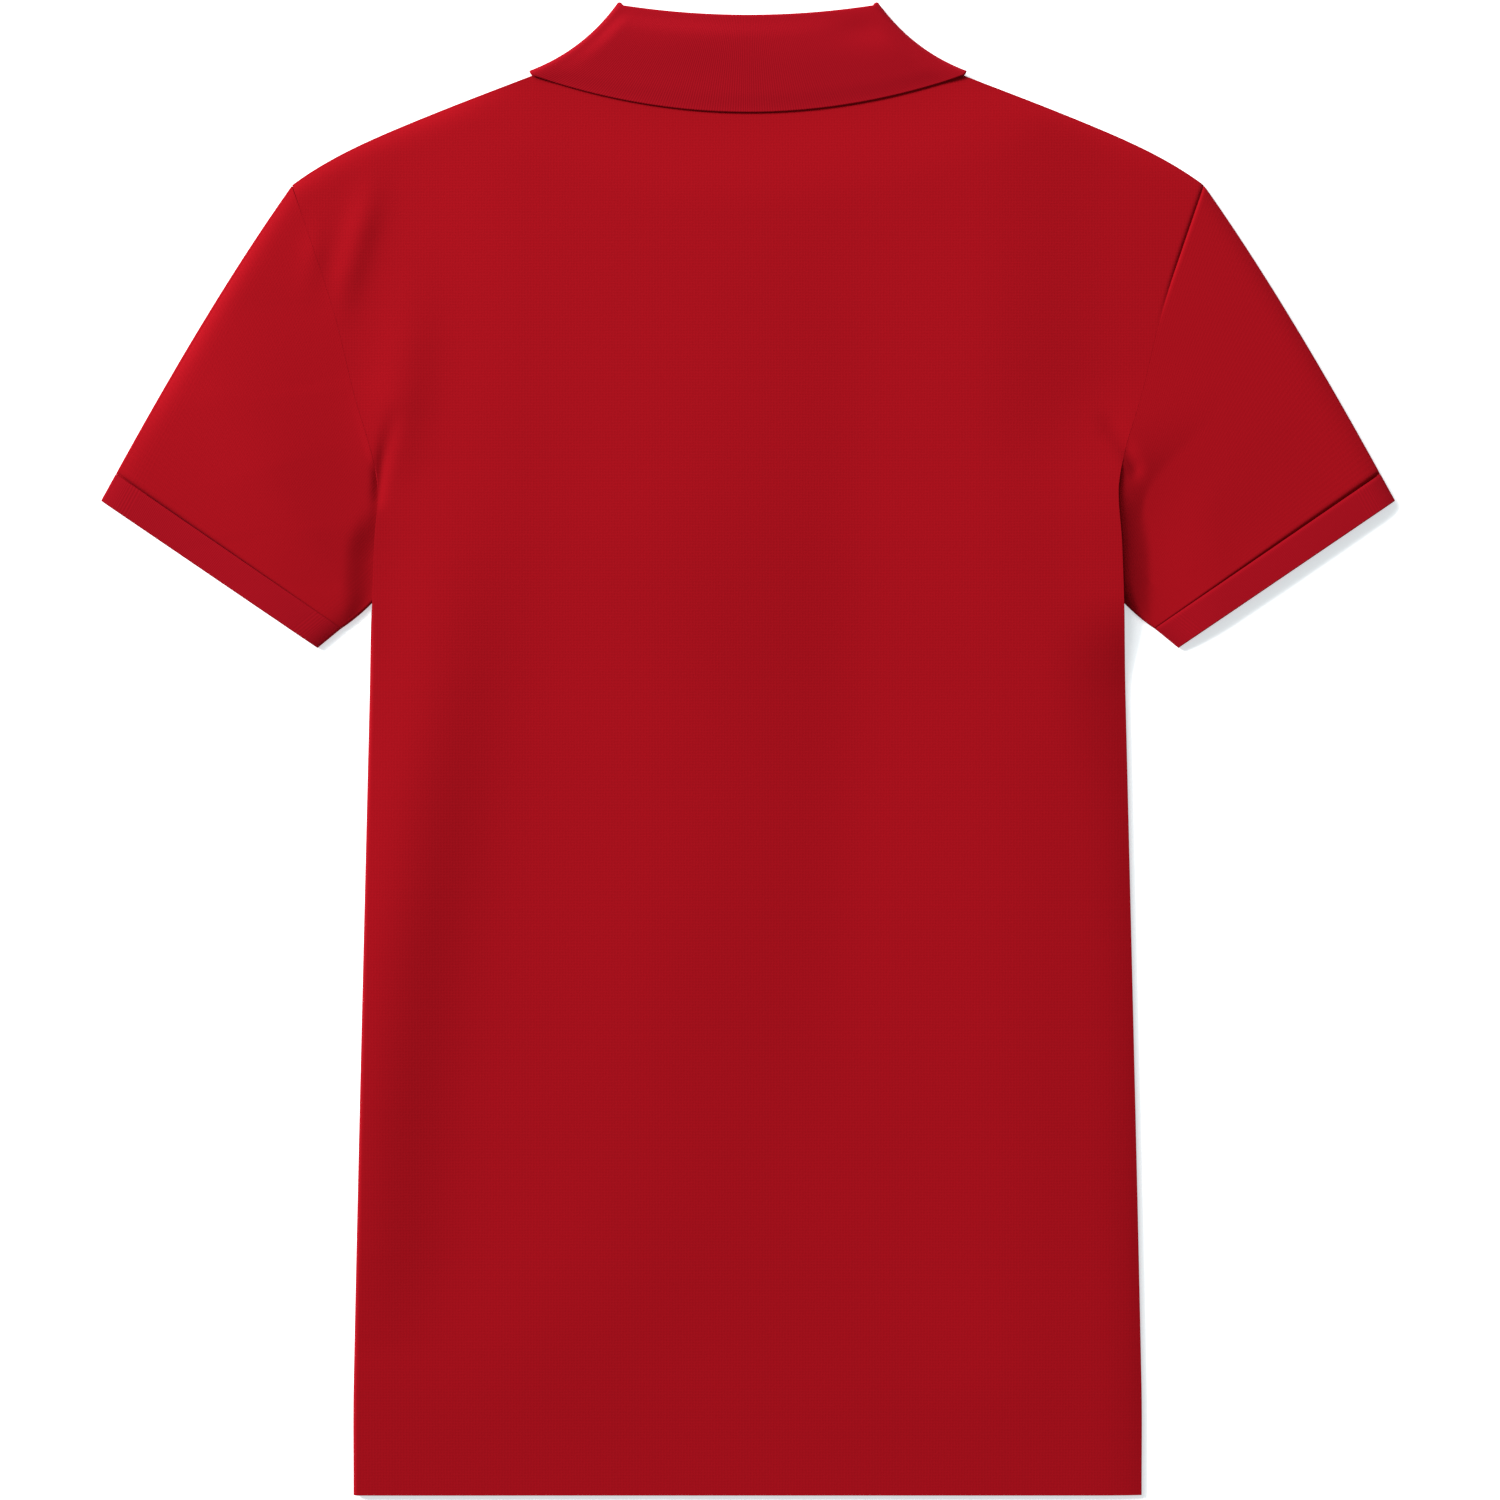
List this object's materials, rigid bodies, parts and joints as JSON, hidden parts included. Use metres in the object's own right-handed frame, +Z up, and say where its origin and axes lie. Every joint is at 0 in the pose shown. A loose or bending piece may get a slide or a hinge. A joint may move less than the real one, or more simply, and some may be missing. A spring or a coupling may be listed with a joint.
{
  "type": "polo shirt",
  "caption": "Short-sleeved polo shirt with a knitted turn-down collar and cuff bands, laid flat on its front with the back upward.",
  "frame": {"origin": "middle of the laid shirt's outline, on the surface it lies on", "axes": "+Y from hem to collar, +X to the right as the back is seen, +Z up out of the back"},
  "size_m": [0.6726, 0.7753, 0.0082],
  "materials": {
    "pique": "matt red cotton pique with a soft sheen",
    "flat_knit": "matt red flat-knitted rib",
    "button": "polished red plastic"
  },
  "bodies": {
    "root": {"back": "pique", "front": "pique", "sleeve_left": "pique", "sleeve_right": "pique", "placket_upper": "pique", "placket_under": "pique", "collar": "flat_knit", "cuff_left": "flat_knit", "cuff_right": "flat_knit", "button_1": "button", "button_2": "button"}
  },
  "joints": []
}
